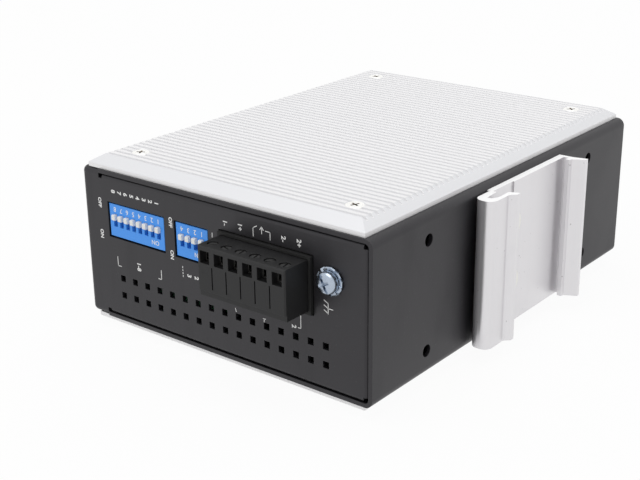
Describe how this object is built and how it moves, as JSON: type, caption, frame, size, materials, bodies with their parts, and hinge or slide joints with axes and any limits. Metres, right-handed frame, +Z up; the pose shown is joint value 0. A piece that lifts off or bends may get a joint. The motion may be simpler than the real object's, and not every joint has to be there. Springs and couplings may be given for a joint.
{
  "type": "din rail ethernet switch",
  "caption": "Upright folded-steel network switch with ribbed heat-sink plates, a rear rail clip, front ports and a top panel of slide switches, a pluggable terminal block and a ground screw.",
  "frame": {"origin": "middle of the flat bottom face of the case", "axes": "+Z up to the terminal panel, +Y towards the mounting rail, -Y towards the ports, +X towards the right heat-sink plate"},
  "size_m": [0.0538, 0.1155, 0.15],
  "materials": {
    "case_coat": "fine textured powder coat",
    "plate_coat": "clear anodised, ribbed",
    "clip_aluminium": "anodised extrusion, sawn ends",
    "spring_steel": "tempered strip",
    "screw_steel": "bright zinc",
    "ground_metal": "nickel plated",
    "board_laminate": "green solder resist",
    "support_nylon": "natural nylon",
    "connector_black": "moulded",
    "shield_tin": "tin plated sheet",
    "pin_brass": "gold flash",
    "lamp_lens": "clear tinted",
    "switch_blue": "moulded",
    "lever_white": "moulded",
    "plug_black": "moulded, fine texture",
    "cage_steel": "zinc plated",
    "chip_black": "moulded epoxy",
    "thermal_silicone": "soft filled silicone",
    "can_sleeve": "shrink sleeve",
    "ferrite": "pressed ferrite",
    "relay_case": "moulded"
  },
  "bodies": {
    "case": {"board_supports": "support_nylon", "capacitors": "can_sleeve", "clamp_cages": "cage_steel", "clamp_screws": "screw_steel", "clip_nuts": "screw_steel", "clip_screws": "screw_steel", "clock_crystal": "shield_tin", "dip4_base": "switch_blue", "dip4_cover": "switch_blue", "dip8_base": "switch_blue", "dip8_cover": "switch_blue", "front_shell": "case_coat", "ground_nut": "ground_metal", "ground_screw": "ground_metal", "header_pins": "pin_brass", "inductor": "ferrite", "io_board": "board_laminate", "io_supports": "support_nylon", "jack_contacts": "pin_brass", "jack_housing": "connector_black", "jack_shield": "shield_tin", "lamp_holder": "connector_black", "left_heatsink_plate": "plate_coat", "left_plate_screws": "screw_steel", "link_pins": "pin_brass", "link_socket": "connector_black", "magnetics": "chip_black", "main_board": "board_laminate", "memory_chip": "chip_black", "power_converter": "chip_black", "rail_clip": "clip_aluminium", "rail_spring": "spring_steel", "relay": "relay_case", "right_heatsink_plate": "plate_coat", "right_plate_screws": "screw_steel", "side_back_shell": "case_coat", "slide_switch_legs": "pin_brass", "star_washer": "ground_metal", "status_lamps": "lamp_lens", "switch_chip": "chip_black", "terminal_header": "plug_black", "terminal_plug": "plug_black", "thermal_pad": "thermal_silicone"},
    "dip4_lever_1_body": {"dip4_lever_1": "lever_white"},
    "dip4_lever_2_body": {"dip4_lever_2": "lever_white"},
    "dip4_lever_3_body": {"dip4_lever_3": "lever_white"},
    "dip4_lever_4_body": {"dip4_lever_4": "lever_white"},
    "dip8_lever_1_body": {"dip8_lever_1": "lever_white"},
    "dip8_lever_2_body": {"dip8_lever_2": "lever_white"},
    "dip8_lever_3_body": {"dip8_lever_3": "lever_white"},
    "dip8_lever_4_body": {"dip8_lever_4": "lever_white"},
    "dip8_lever_5_body": {"dip8_lever_5": "lever_white"},
    "dip8_lever_6_body": {"dip8_lever_6": "lever_white"},
    "dip8_lever_7_body": {"dip8_lever_7": "lever_white"},
    "dip8_lever_8_body": {"dip8_lever_8": "lever_white"}
  },
  "joints": [
    {"name": "dip4_slide_1", "type": "slide", "parent": "case", "child": "dip4_lever_1_body", "axis": [1, 0, 0], "range_m": [0, 0.002]},
    {"name": "dip4_slide_2", "type": "slide", "parent": "case", "child": "dip4_lever_2_body", "axis": [1, 0, 0], "range_m": [0, 0.002]},
    {"name": "dip4_slide_3", "type": "slide", "parent": "case", "child": "dip4_lever_3_body", "axis": [1, 0, 0], "range_m": [0, 0.002]},
    {"name": "dip4_slide_4", "type": "slide", "parent": "case", "child": "dip4_lever_4_body", "axis": [1, 0, 0], "range_m": [0, 0.002]},
    {"name": "dip8_slide_1", "type": "slide", "parent": "case", "child": "dip8_lever_1_body", "axis": [1, 0, 0], "range_m": [0, 0.002]},
    {"name": "dip8_slide_2", "type": "slide", "parent": "case", "child": "dip8_lever_2_body", "axis": [1, 0, 0], "range_m": [0, 0.002]},
    {"name": "dip8_slide_3", "type": "slide", "parent": "case", "child": "dip8_lever_3_body", "axis": [1, 0, 0], "range_m": [0, 0.002]},
    {"name": "dip8_slide_4", "type": "slide", "parent": "case", "child": "dip8_lever_4_body", "axis": [1, 0, 0], "range_m": [0, 0.002]},
    {"name": "dip8_slide_5", "type": "slide", "parent": "case", "child": "dip8_lever_5_body", "axis": [1, 0, 0], "range_m": [0, 0.002]},
    {"name": "dip8_slide_6", "type": "slide", "parent": "case", "child": "dip8_lever_6_body", "axis": [1, 0, 0], "range_m": [0, 0.002]},
    {"name": "dip8_slide_7", "type": "slide", "parent": "case", "child": "dip8_lever_7_body", "axis": [1, 0, 0], "range_m": [0, 0.002]},
    {"name": "dip8_slide_8", "type": "slide", "parent": "case", "child": "dip8_lever_8_body", "axis": [1, 0, 0], "range_m": [0, 0.002]}
  ]
}
